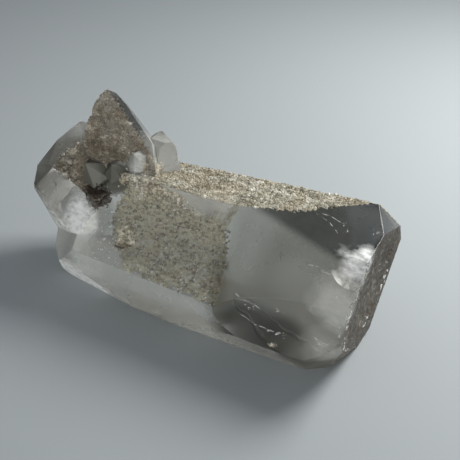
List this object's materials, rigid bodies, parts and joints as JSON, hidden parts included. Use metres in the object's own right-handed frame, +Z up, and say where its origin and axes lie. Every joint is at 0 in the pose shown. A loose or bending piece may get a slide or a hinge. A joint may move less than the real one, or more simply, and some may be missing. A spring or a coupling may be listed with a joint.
{
  "type": "quartz crystal",
  "caption": "Stout clear quartz crystal lying on one prism face, with smaller crystals grown on its pointed end and a chipped base.",
  "frame": {"origin": "middle of the bounding box's base, on the surface that the crystal lies on", "axes": "+X along the long prism towards its broken base, +Y from the front faces to the back faces, +Z up from the prism face that it lies on"},
  "size_m": [0.0759, 0.0344, 0.0389],
  "materials": {
    "clear_quartz": "clear, faintly smoky grey natural quartz, with fine sandy druse on the top and back faces"
  },
  "bodies": {
    "root": {"quartz_crystal": "clear_quartz"}
  },
  "joints": []
}
